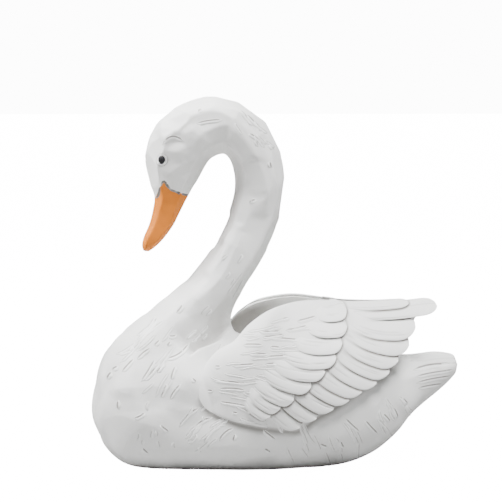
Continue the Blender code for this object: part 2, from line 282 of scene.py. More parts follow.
# Along a stroke: the step in which it is drawn, the spacing of its cuts across, how steeply its
# ends taper, and how far it goes into the surface
STROKE_STEP = 0.0003
STROKE_SPACING = 0.0008
STROKE_TAPER = 6
STROKE_ROOT = 0.0003

# How strongly the strokes' painted shade and highlight are laid, how much smaller the faint ones
# are and how strongly theirs are laid, and how high and how dark the border round the bill is
STROKE_TONE = 0.85
FAINT_SHARE = 0.8
FAINT_TONE = 0.4
BORDER_LIP = 0.00005
BORDER_TONE = 0.95

# The strokes: from x and z to x and z, and how far they bow to their left
HEAD_STROKES = (
    (28.2, 92.8, 35.2, 93.8, 0.3), (19.1, 86.8, 25.0, 87.9, 2.0), (40.2, 96.5, 43.8, 92.2, 0.0),
    (41.8, 95.4, 45.5, 91.6, 0.0), (42.2, 90.3, 46.0, 87.9, 0.1), (47.9, 87.3, 49.4, 85.9, 0.0),
    (47.9, 82.7, 48.4, 80.8, 0.0), (42.5, 71.4, 44.4, 72.2, 0.2), (28.8, 96.0, 29.9, 96.5, 0.2),
)
BREAST_STROKES = (
    (24.4, 44.5, 22.5, 42.2, 0.2), (17.7, 40.8, 12.3, 34.9, 0.1), (11.0, 33.9, 9.6, 32.3, 0.1),
    (15.7, 33.4, 11.9, 30.3, -0.2), (11.2, 30.5, 8.0, 27.0, -0.1), (7.0, 28.3, 5.4, 27.1, 0.0),
    (26.0, 34.5, 19.3, 30.6, 0.8), (16.7, 30.6, 12.9, 24.8, 0.1), (18.0, 30.1, 13.7, 25.0, 0.2),
    (19.3, 29.9, 17.1, 27.1, -0.1), (22.1, 29.0, 20.8, 25.4, -0.2), (19.7, 24.4, 18.1, 20.7, 0.0),
    (23.3, 24.5, 20.4, 20.3, -0.3), (26.2, 26.0, 27.3, 25.0, 0.0), (20.2, 36.7, 22.6, 36.7, -0.5),
    (21.0, 34.9, 20.2, 33.7, -0.2), (28.2, 18.3, 22.7, 13.0, -0.7), (31.6, 15.6, 26.1, 10.9, -1.2),
    (34.0, 13.8, 29.2, 9.0, -0.8), (37.1, 13.0, 33.2, 9.5, -0.6), (37.4, 11.4, 36.9, 9.5, 0.0),
    (17.8, 13.7, 20.1, 11.9, -0.1), (7.1, 19.8, 7.1, 17.1, -0.3), (11.0, 15.3, 13.9, 17.0, -0.3),
    (13.1, 7.2, 14.9, 5.5, -0.1), (18.1, 35.4, 16.5, 33.9, 0.0), (5.4, 26.6, 4.0, 24.4, -0.1),
    (44.7, 12.5, 48.1, 9.7, -0.1), (45.0, 7.3, 46.9, 6.0, 0.1), (59.9, 8.3, 62.1, 7.3, -0.1),
    (65.3, 8.9, 66.6, 6.7, -0.1), (66.5, 15.1, 70.7, 11.1, -0.1), (72.0, 14.3, 75.9, 10.0, -0.1),
    (77.2, 15.5, 79.4, 13.0, 0.1), (80.2, 16.7, 81.8, 13.7, 0.2), (82.9, 19.1, 84.7, 17.3, 0.0),
)
TAIL_STROKES = (
    (86.2, 27.9, 98.1, 28.6, 0.3), (86.6, 25.9, 97.9, 27.4, 0.4), (86.8, 24.2, 98.4, 25.9, 0.2),
    (87.1, 22.6, 97.4, 24.2, 0.2), (87.7, 21.2, 94.8, 22.1, 0.1),
)
# Fainter strokes: seed, number, the area's x, z, x, z, slopes along it, lengths and bow
FAINT_STROKES = (
    (1, 16, (10, 22, 24, 42), (215, 235), (3.5, 8.0), 0.2),
    (2, 12, (24, 8, 36, 20), (230, 215), (3.0, 6.5), 0.5),
    (3, 20, (48, 5, 84, 16), (290, 305), (3.5, 7.5), 0.2),
    (4, 9, (74, 14, 85, 20), (295, 310), (3.5, 6.5), 0.3),
    (5, 8, (34, 48, 42, 60), (230, 245), (2.0, 5.0), 0.2),
    (6, 8, (38, 88, 49, 94), (300, 320), (2.0, 4.0), 0.1),
    (7, 8, (26, 34, 36, 44), (215, 235), (2.0, 4.0), 0.2),
    (8, 9, (8, 6, 30, 20), (250, 300), (1.5, 3.0), 0.3),
)
FAINT_WING_STROKES = (
    (11, 16, (38, 30, 56, 42), (2, 8), (4.0, 9.0), 0.2),
    (12, 12, (31, 22, 46, 30), (2, -6), (4.0, 8.0), 0.2),
    (13, 12, (32, 15, 45, 23), (-4, -20), (4.0, 7.5), 0.2),
)
WING_STROKES = (
    (50.1, 41.0, 52.6, 41.2, 0.0), (54.3, 40.3, 59.9, 41.5, -0.1), (51.0, 38.3, 57.3, 39.3, -0.3),
    (43.7, 38.3, 49.9, 38.1, -0.2), (44.7, 36.8, 50.9, 37.3, -0.2), (46.3, 36.5, 55.6, 35.5, 0.1),
    (39.6, 34.6, 44.9, 34.7, 0.2), (40.9, 32.5, 46.1, 32.4, 0.0), (45.0, 31.7, 55.4, 32.2, -0.1),
    (32.2, 29.0, 33.8, 29.1, 0.0), (36.6, 29.4, 42.9, 29.9, 0.0), (31.4, 25.4, 41.2, 24.6, 0.2),
    (33.0, 23.3, 40.2, 23.0, 0.3), (30.1, 22.7, 31.7, 22.7, 0.0), (33.2, 19.9, 40.7, 18.8, 0.1),
    (36.6, 17.3, 38.1, 17.1, -0.1), (45.3, 29.9, 49.2, 30.1, -0.1), (46.7, 34.2, 49.7, 33.8, 0.1),
)

# How many small cubes of space are counted each way, how many points are worked on at once, and
# the step in which smooth curves are drawn
CELL_SPAN = 8192
BLOCK = 20000
LINE_STEP = 0.0004

# The lights: name, place, width and power. Then where they point, the room's own light, how
# brightly floor and background show to the camera, half the floor's width, and its grey
LIGHTS = (
    ("near left light", (-0.27, 0.0, 0.40), 0.25, 2.8),
    ("high front light", (0.34, -0.38, 1.17), 0.5, 33),
    ("left light", (-0.92, 0.0, 0.85), 0.5, 16),
    ("top light", (0.0, -0.05, 1.28), 0.5, 6),
    ("low front light", (0.0, -1.18, 0.29), 0.5, 1.5),
)
LIGHTS_AIM = (0, 0, 0.08)
ROOM_LIGHT = 0.06
GLOW = 16.0
FLOOR_HALF = 15
FLOOR_GREY = (0.35, 0.35, 0.35, 1)

# The white of the painted highlights on the strokes' lips and the eyes' rims, and the dark of the
# painted shade in the orange paint's and the black paint's hollows
LIP_HIGHLIGHT = (0.98, 0.98, 0.97, 1.0)
ORANGE_SHADE = (0.06, 0.015, 0.005)
BLACK_SHADE = (0.004, 0.004, 0.004)

# The camera: place, tilt and turn in degrees, and lens in millimetres
CAMERA_PLACE = (-0.08995, -0.99384, 0.18206)
CAMERA_TILT = 85.5
CAMERA_TURN = -4.5
CAMERA_SENSOR = 36
CAMERA_LENS = 2037.8 / 502 * CAMERA_SENSOR


def place(x, z):
    """World x and z, in metres, of a place given in hundredths of the length and the height."""
    return (np.asarray(x, float) / 100 - 0.5) * LENGTH, np.asarray(z, float) / 100 * HEIGHT


def half(y):
    """World half width of a share of the swan's half width in hundredths."""
    return np.asarray(y, float) / 100 * WIDTH / 2


def through(keys, places):
    """Rows of numbers at these places along a smooth curve through the key rows."""
    keys = np.asarray(keys, float)
    ends = np.vstack([2 * keys[0] - keys[1], keys, 2 * keys[-1] - keys[-2]])
    first = np.clip(places.astype(int), 0, len(keys) - 2)
    t = (places - first)[..., None]
    a, b, c, d = (ends[first + step] for step in range(4))
    square = (2 * a - 5 * b + 4 * c - d) * t**2
    return 0.5 * (2 * b + (c - a) * t + square + (3 * b - a - 3 * c + d) * t**3)


def smooth_step(low, high, value):
    """A share that grows softly from 0 at the low value to 1 at the high one."""
    t = np.clip((value - low) / (high - low), 0, 1)
    return t * t * (3 - 2 * t)


def fading(first, last, x):
    """A share that grows from 0 to 1 between two places along the length, at world x."""
    return smooth_step(*place(np.array((first, last)), 0)[0], x)


def eased(along, steep=6):
    """A share that grows from 0 at both ends of a path to 1."""
    return np.clip(np.minimum(along, 1 - along) * steep, 0, 1)


def loft(places, turns, reach=1.0):
    """Points of the body at these places along it and these turns around it from the back."""
    rows = through([(*s.back, *s.front, s.half_width, s.square, s.low) for s in BODY], places)
    back_x, back_z, front_x, front_z, width, square, low = np.moveaxis(rows, -1, 0)
    back_x, back_z = place(back_x, back_z)
    front_x, front_z = place(front_x, front_z)
    side = np.pi / NECK_PLANES
    flat = np.cos(side) / np.cos(turns % (2 * side) - side)
    planed = 1 - PLANE_SHARE * (1 - flat) * np.clip(1.4 - width / 50, 0, 1)
    up = reach * planed * np.sign(np.cos(turns)) * np.abs(np.cos(turns)) ** (2 / square)
    out = reach * planed * np.sign(np.sin(turns)) * np.abs(np.sin(turns)) ** (2 / square)
    share = (up + 1) / 2
    x = front_x + (back_x - front_x) * share
    z = front_z + (back_z - front_z) * share
    y = half(width) * out * (1 - low * up)
    middle_x, middle_z = place(*SHOULDER)
    reach_x, reach_z = SHOULDER_REACH[0] / 100 * LENGTH, SHOULDER_REACH[1] / 100 * HEIGHT
    off = ((x - middle_x) / reach_x) ** 2 + ((z - middle_z) / reach_z) ** 2
    y = y + SHOULDER_SWELL * np.clip(1 - off, 0, 1) ** 2 * out
    return np.stack([x, y, z], axis=-1)


def loft_normals(places, turns):
    """The directions in which the body's surface faces at these places and turns."""
    along = loft(places + 0.01, turns) - loft(places - 0.01, turns)
    around = loft(places, turns + 0.01) - loft(places, turns - 0.01)
    normals = np.cross(around, along)
    normals /= np.linalg.norm(normals, axis=-1, keepdims=True) + 1e-12
    off = loft(places, turns) - loft(places, turns, 0.0)
    return normals * np.sign(np.sum(normals * off, axis=-1, keepdims=True))


def even_places(spacing):
    """Places along the body so that its outlines are divided evenly."""
    fine = np.linspace(0, len(BODY) - 1, 3000)
    outlines = [loft(fine, fine * 0 + turn) for turn in (0, np.pi)]
    steps = [np.linalg.norm(np.diff(outline, axis=0), axis=1) for outline in outlines]
    run = np.concatenate([[0], np.cumsum(np.maximum(*steps))])
    return np.interp(np.linspace(0, run[-1], int(run[-1] / spacing)), run, fine)


Skin = namedtuple("Skin", "places turns reach triangles")


def skin_points(skin):
    """The points of a skin in space."""
    return loft(skin.places, skin.turns, skin.reach)


def coarse_skin(spacing, around):
    """The body's skin as triangles between rings, closed at both ends."""
    along = even_places(spacing)
    turn = np.linspace(0, 2 * np.pi, around, endpoint=False)
    places, turns = (grid.ravel() for grid in np.meshgrid(along, turn, indexing="ij"))
    a, b, c, d = grid_faces(len(along), around).T
    triangles = np.concatenate([np.stack([a, b, c], 1), np.stack([a, c, d], 1)])
    first = np.arange(around)
    last = first + (len(along) - 1) * around
    start, end = len(places), len(places) + 1
    caps = [
        np.stack([np.roll(first, -1), first, np.full(around, start)], 1),
        np.stack([last, np.roll(last, -1), np.full(around, end)], 1),
    ]
    return Skin(
        np.append(places, [along[0], along[-1]]),
        np.append(turns, [0.0, 0.0]),
        np.append(np.ones(len(places)), [0.0, 0.0]),
        np.concatenate([triangles, *caps]),
    )


def divided(skin, wanted):
    """The skin with a new point on each edge for which `wanted` gives a share, and not nan."""
    t = skin.triangles
    edges = np.stack([t[:, [0, 1]], t[:, [1, 2]], t[:, [2, 0]]], axis=1).reshape(-1, 2)
    edges = np.sort(edges, axis=1)
    codes, index = np.unique(edges[:, 0] * len(skin.places) + edges[:, 1], return_inverse=True)
    near, far = codes // len(skin.places), codes % len(skin.places)
    share = wanted(near, far)
    cut = ~np.isnan(share)
    number = np.full(len(codes), -1)
    number[cut] = len(skin.places) + np.arange(cut.sum())
    near, far, share = near[cut], far[cut], share[cut]
    swing = (skin.turns[far] - skin.turns[near] + np.pi) % (2 * np.pi) - np.pi
    places = skin.places[near] + (skin.places[far] - skin.places[near]) * share
    turns = skin.turns[near] + swing * share
    reach = skin.reach[near] + (skin.reach[far] - skin.reach[near]) * share
    mids = number[index.ravel()].reshape(-1, 3)
    cuts = (mids >= 0).sum(axis=1)
    shift = np.zeros(len(t), int)
    shift[cuts == 1] = np.argmax(mids[cuts == 1] >= 0, axis=1)
    shift[cuts == 2] = (np.argmax(mids[cuts == 2] < 0, axis=1) + 1) % 3
    order = (np.arange(3)[None, :] + shift[:, None]) % 3
    a, b, c = np.take_along_axis(t, order, axis=1).T
    p, q, r = np.take_along_axis(mids, order, axis=1).T
    one, two, three = (cuts == n for n in (1, 2, 3))
    made = [
        t[cuts == 0],
        np.stack([a, p, c], 1)[one],
        np.stack([p, b, c], 1)[one],
        np.stack([p, b, q], 1)[two],
        np.stack([a, p, q], 1)[two],
        np.stack([a, q, c], 1)[two],
        np.stack([a, p, r], 1)[three],
        np.stack([p, b, q], 1)[three],
        np.stack([r, q, c], 1)[three],
        np.stack([p, q, r], 1)[three],
    ]
    return Skin(
        np.append(skin.places, places),
        np.append(skin.turns, turns),
        np.append(skin.reach, reach),
        np.concatenate(made),
    )


def refined(skin, longest):
    """The skin with every edge halved until it is shorter than `longest` allows at its middle."""
    for _ in range(6):
        points = skin_points(skin)

        def wanted(near, far):
            length = np.linalg.norm(points[far] - points[near], axis=1)
            middle = (points[far] + points[near]) / 2
            return np.where(length > longest(middle), 0.5, np.nan)

        before = len(skin.places)
        skin = divided(skin, wanted)
        if len(skin.places) == before:
            break
    return skin


def beyond_line(points, line):
    """How far below a line, given in hundredths, points lie: positive on its lower side."""
    line_x, line_z = place(*np.array(line).T)
    return np.interp(points[:, 0], line_x, line_z) - points[:, 2]


def facet_seeds(seed):
    """Where the knife's facets lie on the body: place, turn and share of the depth."""
    chance = np.random.default_rng(seed)
    places = np.linspace(0, len(BODY) - 1, FACET_RINGS)
    seeds = []
    for ring in range(10, FACET_RINGS - 2, 2):
        start = chance.integers(0, 4)
        for point in range(start, FACET_AROUND, 4):
            turn = 2 * np.pi * point / FACET_AROUND
            seeds.append((places[ring], turn, chance.uniform(0.6, 1.4)))
    return np.array(seeds)


def pared(points, normals, depth, reach, seed):
    """Cuts flat facets, as a knife leaves them: each takes off what stands above a plane."""
    seeds = facet_seeds(seed)
    facings = loft_normals(seeds[:, 0], seeds[:, 1])
    centres = loft(seeds[:, 0], seeds[:, 1]) + FACET_STOCK * facings
    points = points + FACET_STOCK * normals
    for centre, facing, share in zip(centres, facings, seeds[:, 2]):
        off = points - centre
        far = np.linalg.norm(off, axis=1) / reach
        close = np.flatnonzero((far < 1) & (normals @ facing > 0.4))
        rim = (far > 0.75) & (far < 1) & (normals @ facing > 0.4)
        bulge = -np.percentile(off[rim] @ facing, 40) if rim.any() else 0.0
        cut = min(depth * share, max(bulge, 0.0))
        above = off[close] @ facing + cut * (1 - 0.5 * far[close] ** 2)
        if len(close) == 0 or above.max() > 1.5 * cut:
            continue
        above = (above + np.sqrt(above**2 + FACET_BLUNT**2)) / 2
        points[close] -= (above * (1 - smooth_step(0.7, 1.0, far[close])))[:, None] * facing
    return points


def tilted(points, size, tilt, seed):
    """How far broad cuts raise or lower a surface, in patches that are each a little tilted."""
    chance = np.random.default_rng(seed)
    order = chance.permutation(len(points))
    seeds = []
    taken = set()
    for i in order[:PATCH_TRIES]:
        cell = tuple(np.floor(points[i] / size + 0.5).astype(int))
        if cell not in taken:
            taken.add(cell)
            seeds.append(i)
    centres = points[seeds]
    slopes = chance.normal(0, tilt, (len(seeds), 3))
    raised = np.zeros(len(points))
    for first in range(0, len(points), BLOCK):
        block = slice(first, first + BLOCK)
        off = points[block][:, None] - centres[None]
        far = np.linalg.norm(off, axis=2)
        near = np.exp(-(far - far.min(axis=1, keepdims=True)) / (PATCH_BLEND * size))
        rise = np.sum(off * slopes[None], axis=2)
        raised[block] = np.sum(near * rise, axis=1) / near.sum(axis=1)
    return raised


def near_path(points, path, reach):
    """The points within reach of a path, how far off it they are, and how far along it, 0 to 1."""
    box = np.all((points > path.min(axis=0) - reach) & (points < path.max(axis=0) + reach), axis=1)
    close = np.flatnonzero(box)
    if len(close) == 0:
        return close, np.zeros(0), np.zeros(0)
    off = np.linalg.norm(points[close][:, None] - path[None], axis=2)
    keep = off.min(axis=1) < reach
    return close[keep], off.min(axis=1)[keep], off.argmin(axis=1)[keep] / (len(path) - 1)


def cells(points, size):
    """A number for the small cube of space that each point is in."""
    x, y, z = (np.floor(points / size).astype(np.int64) + CELL_SPAN // 2).T
    return (x * CELL_SPAN + y) * CELL_SPAN + z


def close_to(paths, reach):
    """A test of whether points lie near any of the paths."""
    spread = np.array([(x, y, z) for x in (-1, 0, 1) for y in (-1, 0, 1) for z in (-1, 0, 1)])
    around = (np.vstack(paths)[:, None] + reach * spread[None]).reshape(-1, 3)
    taken = np.unique(cells(around, reach))
    return lambda points: np.isin(cells(points, reach), taken)


def scattered(seed, count, area, slopes, lengths, bow):
    """Strokes strewn over an area, turned from one slope to the other along it."""
    chance = np.random.default_rng(seed)
    strokes = []
    for _ in range(count):
        share = chance.uniform(0, 1)
        x = area[0] + share * (area[2] - area[0])
        z = chance.uniform(area[1], area[3])
        slope = np.radians(slopes[0] + share * (slopes[1] - slopes[0]) + chance.normal(0, 8))
        length = chance.uniform(*lengths)
        end = (x + length * np.cos(slope), z + length * np.sin(slope))
        strokes.append((x, z, *end, chance.normal(0, bow)))
    return strokes


def outward(facing, side):
    """A facing turned away from the middle on this side."""
    return facing * (1 if facing.y * side > 0 else -1)


def gouged(tree, side, line, half_width, lip, shade, border=False):
    """A gouge's stroke as a closed form on a shape's side: a cut over a raised lip, with painted
    shade in the cut and a painted highlight on the lip.

    It gives the points, faces and tones. `line` is world x and z along it. A `border` is dark all
    over and uneven, and its ends don't taper.
    """
    along = np.linspace(0, 1, max(int(len(line) * STROKE_STEP / STROKE_SPACING), 5))
    steps = np.arange(len(line)) / (len(line) - 1)
    line = np.stack([np.interp(along, steps, line[:, k]) for k in (0, 1)], axis=1)
    run = np.gradient(line, axis=0)
    left = np.stack([-run[:, 1], run[:, 0]], axis=1) / np.linalg.norm(run, axis=1, keepdims=True)
    ends = np.clip(np.minimum(along, 1 - along) * STROKE_TAPER, 0.02, 1) ** 0.8
    if border:
        ends = 1 + 0.35 * np.sin(47 * along) * np.sin(19 * along + 1)
    downward = left[:, 1].mean() < 0
    order = slice(None) if downward else slice(None, None, -1)
    offsets = np.array(STROKE_PLACES)[order] * half_width
    offsets = offsets if downward else -offsets
    rise = np.array(STROKE_RISE)[order] * lip
    base = np.array(STROKE_BASE)[order] / 1000
    tones = np.array(BORDER_TONES if border else STROKE_TONES)[order] * shade
    rings, values = [], []
    for (x, z), (a, b), end in zip(line, left, ends):
        found = [
            tree.ray_cast((x + o * end * a, side * 0.1, z + o * end * b), (0, -side, 0))
            for o in offsets
        ]
        if any(spot is None or abs(facing.y) < 0.25 for spot, facing, _, _ in found):
            continue
        spots = np.array([spot for spot, _, _, _ in found])
        facings = np.array([outward(facing, side) for _, facing, _, _ in found])
        lifts = base + rise * end
        top = spots + lifts[:, None] * facings
        under = spots[[-1, 0]] - STROKE_ROOT * facings[[-1, 0]]
        rings.append(np.vstack([top, under]))
        values.append([*(tones * min(end, 1)), 0, 0])
    if len(rings) < 3:
        return np.zeros((0, 3)), [], np.zeros(0)
    points, faces = closed_grid(np.array(rings))
    if side < 0:
        faces = [face[::-1] for face in faces]
    return points, faces, np.append(np.array(values).ravel(), [0, 0])


def stroke_forms(tree, side, carving, strokes, faint_groups):
    """The forms of these strokes and of the faint ones strewn about, on a shape's side."""
    faint = [stroke for group in faint_groups for stroke in scattered(*group)]
    forms = []
    for group, share, shade in ((strokes, 1.0, STROKE_TONE), (faint, FAINT_SHARE, FAINT_TONE)):
        wide, lip = share * carving.stroke_width / 2, share * carving.stroke_lip
        forms += [gouged(tree, side, stroke_line(stroke), wide, lip, shade) for stroke in group]
    return forms


def stroke_line(stroke):
    """World x and z along a stroke."""
    start = np.array(place(*stroke[0:2]))
    end = np.array(place(*stroke[2:4]))
    run = end - start
    t = np.linspace(0, 1, max(int(np.linalg.norm(run) / STROKE_STEP), 4))[:, None]
    left = np.array([-run[1], run[0]]) / np.linalg.norm(run)
    return start + run * t + left * stroke[4] / 100 * LENGTH * 4 * t * (1 - t)


def polyline(keys):
    """World x and z along a smooth curve through places in hundredths."""
    line = np.stack(place(*through(keys, np.linspace(0, len(keys) - 1, 200)).T), axis=1)
    run = np.concatenate([[0], np.cumsum(np.linalg.norm(np.diff(line, axis=0), axis=1))])
    even = np.linspace(0, run[-1], int(run[-1] / LINE_STEP))
    return np.stack([np.interp(even, run, line[:, 0]), np.interp(even, run, line[:, 1])], axis=1)


def on_side(tree, line, side):
    """A line in x and z laid on the side of a shape, as far as it meets it."""
    found = [tree.ray_cast((x, side * 0.1, z), (0, -side, 0))[0] for x, z in line]
    return np.array([spot for spot in found if spot is not None]).reshape(-1, 3)


def mesh_piece(name, points, faces, materials, indices=None, crease=180, **values):
    """A smooth shaded mesh object inside the solid's box, sharp at edges over `crease` degrees."""
    mesh = bpy.data.meshes.new(name)
    points = np.clip(points, LOW, HIGH)
    mesh.from_pydata(points.tolist(), [], [face.tolist() for face in faces])
    for material in materials:
        mesh.materials.append(material)
    if indices is not None:
        mesh.polygons.foreach_set("material_index", indices.astype(np.int32))
    for key, value in values.items():
        attribute = mesh.attributes.new(key, "FLOAT", "POINT")
        attribute.data.foreach_set("value", value.astype(np.float32))
    mesh.shade_smooth()
    mesh.set_sharp_from_angle(angle=math.radians(crease))
    mesh.update()
    piece = bpy.data.objects.new(name, mesh)
    bpy.context.scene.collection.objects.link(piece)
    return piece


def casting(piece):
    """Has a piece ride with the statue and stand for its solid, which it hides."""
    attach(piece, "root")
    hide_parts("swan")


@functools.lru_cache(maxsize=None)
def body_marks():
    """The uncarved body's shape, and paths on it: ridges, folds, tail grooves, rims and shade."""
    skin = refined(coarse_skin(0.0015, 96), lambda middle: 0.0022)
    tree = BVHTree.FromPolygons(skin_points(skin).tolist(), skin.triangles.tolist())
    marks = {"ridges": [], "folds": [], "tail": [], "eye": [], "under": []}
    places = np.linspace(TAIL_FIRST, len(BODY) - 1, 120)
    circle = np.linspace(0, 2 * np.pi, 60)
    eye_x, eye_z = place(*EYE)
    ring = np.stack([eye_x + EYE_RIM * np.cos(circle), eye_z + EYE_RIM * np.sin(circle)], axis=1)
    for side in (-1, 1):
        marks["ridges"] += [on_side(tree, polyline(line), side) for line, _, _ in RIDGES]
        marks["folds"] += [on_side(tree, polyline(line), side) for line, _, _ in FOLDS]
        turns = [places * 0 - side * np.radians(turn) for turn in TAIL_GROOVES]
        marks["tail"] += [loft(places, turn) for turn in turns]
        marks["eye"].append(on_side(tree, ring, side))
        marks["under"].append(on_side(tree, polyline(UNDER_WING), side))
    return tree, marks


@functools.lru_cache(maxsize=None)
def body_shape():
    """The body's skin, finer along its marks, and its points and normals before it is carved."""
    _, marks = body_marks()
    fine = close_to([*marks["tail"], *marks["eye"]], 0.0008)
    ridged = close_to([*marks["ridges"], *marks["folds"], *marks["under"]], 0.0012)
    hidden_x, _ = place(np.array((40, 72)), 0)

    def longest(middle):
        inside = (middle[:, 0] > hidden_x[0]) & (middle[:, 0] < hidden_x[1])
        covered = inside & (middle[:, 2] > place(0, 17)[1])
        size = np.where(middle[:, 2] > place(0, 42)[1], UPPER_EDGE, LOWER_EDGE)
        size = np.where(covered | (middle[:, 2] < 0.002), HIDDEN_EDGE, size)
        return np.where(fine(middle), MARKED_EDGE, np.where(ridged(middle), RIDGED_EDGE, size))

    skin = refined(coarse_skin(0.0016, 80), longest)
    points = skin_points(skin)
    back, top = place(MUZZLE_BACK, MUZZLE_TOP)
    muzzle = (points[:, 2] < top) & (points[:, 0] < back)
    muzzle &= points[:, 2] > place(0, MUZZLE_LOW)[1]
    beyond = np.where(muzzle, beyond_line(points, BILL_LINE), -1.0)

    def at_line(near, far):
        a, b = beyond[near], beyond[far]
        crossing = ((a > 0) != (b > 0)) & muzzle[near] & muzzle[far]
        return np.where(crossing, np.clip(a / np.where(a == b, 1, a - b), 0.02, 0.98), np.nan)

    skin = divided(skin, at_line)
    return skin, skin_points(skin), loft_normals(skin.places, skin.turns)


def carved_body(carving):
    """The body's skin, its points after all carving but the strokes, and its tones of painted shade
    and painted highlight.
    """
    _, marks = body_marks()
    skin, base, normals = body_shape()
    broad = 1 - smooth_step(*place(0, np.array((42, 58)))[1], base[:, 2])
    points = pared(base, normals, carving.facet_depth, carving.facet_reach, carving.facet_seed)
    points += (0.7 * broad)[:, None] * (base - points)
    broad *= smooth_step(0.0, 0.006, base[:, 2])
    rise = tilted(base, PATCH_SIZE, carving.patch_tilt, carving.facet_seed)
    rise = np.clip(rise, -PATCH_LIMIT, PATCH_LIMIT)
    points += (broad * (rise - 0.0003))[:, None] * normals
    for (x, z), reach, height in BUMPS:
        middle_x, middle_z = place(x, z)
        off = np.hypot(base[:, 0] - middle_x, base[:, 2] - middle_z) / reach
        points += (height * np.clip(1 - off**2, 0, 1) ** 1.5)[:, None] * normals
    for number, path in enumerate(marks["ridges"]):
        _, height, reach = RIDGES[number % len(RIDGES)]
        close, away, along = near_path(base, path, reach)
        height = height * (1 - away / reach) * eased(along)
        points[close] += height[:, None] * normals[close]
    sunk = np.zeros(len(points))
    tone = np.zeros(len(points))
    for number, path in enumerate(marks["folds"]):
        _, depth, reach = FOLDS[number % len(FOLDS)]
        close, away, along = near_path(base, path, reach)
        nearest = path[np.round(along * (len(path) - 1)).astype(int)]
        above = base[close, 2] > nearest[:, 2]
        drop = np.where(above, smooth_step(0.0, 0.0012, away) * (1 - away / reach), 0)
        drop *= eased(along)
        sunk[close] += depth * drop
        # Painted shade on the plane that drops behind the fold
        tone[close] = np.maximum(tone[close], 0.5 * drop)
    for path in marks["tail"]:
        close, away, along = near_path(base, path, 3 * TAIL_GROOVE_WIDTH)
        cut = np.clip(1 - away / TAIL_GROOVE_WIDTH, 0, 1) * np.sqrt(along)
        sunk[close] = np.maximum(sunk[close], TAIL_GROOVE_DEPTH * cut)
        # Painted shade in the tail's grooves
        tone[close] = np.maximum(tone[close], 0.5 * cut)
    for path in marks["under"]:
        close, away, along = near_path(base, path, UNDER_REACH)
        # Painted shadow on the body along the wing's lower edge
        shade = UNDER_TONE * (1 - away / UNDER_REACH) * eased(along, 12)
        tone[close] = np.maximum(tone[close], shade)
    for path in marks["eye"]:
        centre = path.mean(axis=0)
        far = np.linalg.norm(base - centre, axis=1)
        near = far < 3 * EYE_RIM
        rim = np.exp(-(((far[near] - EYE_RIM) / 0.0004) ** 2))
        well = 1 - smooth_step(carving.eye_radius, EYE_RIM, far[near])
        sunk[near] = 0.0005 * well - 0.0003 * rim
        # Painted shade in a thin ring just outside the eye's rim, and a painted highlight on the
        # rim
        tone[near] = 0.8 * np.exp(-(((far[near] - EYE_RIM - 0.0006) / 0.0003) ** 2)) - rim
    return skin, points - sunk[:, None] * normals, tone


@functools.lru_cache(maxsize=None)
def wing_stations():
    """Many rows of the wing's numbers, from its shoulder to its rear."""
    return through(WING, np.linspace(0, len(WING) - 1, WING_ROWS))


def wing_rows(share, count):
    """Place, lower edge and upper edge along this share of the wing, and how far along each is."""
    rows = wing_stations()
    keep = np.linspace(0, share, count)
    return [np.interp(keep, np.linspace(0, 1, len(rows)), rows[:, k]) for k in (0, 1, 2)], keep


def wing_face(x, z):
    """Half the swan's width over the wing's outer face, at world x and z."""
    rows = wing_stations()
    station_x, _ = place(rows[:, 0], 0)
    _, top = place(0, np.interp(x, station_x, rows[:, 2]))
    _, widest = place(0, WING_WIDEST)
    wide = half(np.interp(x, station_x, rows[:, 3]))
    upper = half(np.interp(x, station_x, rows[:, 4]))
    share = (z - widest) / np.maximum(top - widest, 0.2 * HEIGHT)
    return upper + (wide - upper) * (1 - share**2)


def wing_crest(x):
    """World height of the wing's upper edge, at world x."""
    rows = wing_stations()
    return place(0, np.interp(x, place(rows[:, 0], 0)[0], rows[:, 2]))[1]


def grid_faces(rows, columns):
    """Quads between the rows of a grid of points, whose last column joins its first."""
    grids = np.meshgrid(np.arange(rows - 1), np.arange(columns), indexing="ij")
    row, column = (grid.ravel() for grid in grids)
    a = row * columns + column
    b = row * columns + (column + 1) % columns
    return np.stack([a, b, b + columns, a + columns], 1)


def closed_grid(rings):
    """Points and faces of a closed form through rings of equal numbers of points."""
    rows, columns = rings.shape[:2]
    faces = [*grid_faces(rows, columns)]
    points = rings.reshape(-1, 3)
    points = np.vstack([points, rings[0].mean(axis=0), rings[-1].mean(axis=0)])
    last = (rows - 1) * columns
    for k in range(columns):
        n = (k + 1) % columns
        faces.append(np.array([n, k, len(points) - 2]))
        faces.append(np.array([last + k, last + n, len(points) - 1]))
    return points, faces


def off_line(x, z, line):
    """How far places lie from a line of world x and z, positive on the side to its right."""
    places = np.stack([x.ravel(), z.ravel()], axis=1)
    run = np.gradient(line, axis=0)
    far = np.linalg.norm(places[:, None] - line[None], axis=2)
    nearest = far.argmin(axis=1)
    off = places - line[nearest]
    side = np.sign(run[nearest, 1] * off[:, 0] - run[nearest, 0] * off[:, 1])
    return (far.min(axis=1) * side).reshape(x.shape)


def finer(line, count=400):
    """A line of world x and z with this many places, spread by its own number of places."""
    steps = np.linspace(0, len(line) - 1, count)
    return np.stack([np.interp(steps, np.arange(len(line)), line[:, k]) for k in (0, 1)], axis=1)


def rounding(margin, radius, depth):
    """How far a rounded edge falls away at this margin from it."""
    close = 1 - np.clip(margin / radius, 0, 1)
    return depth * (1 - np.sqrt(np.maximum(1 - close**2, 0)))


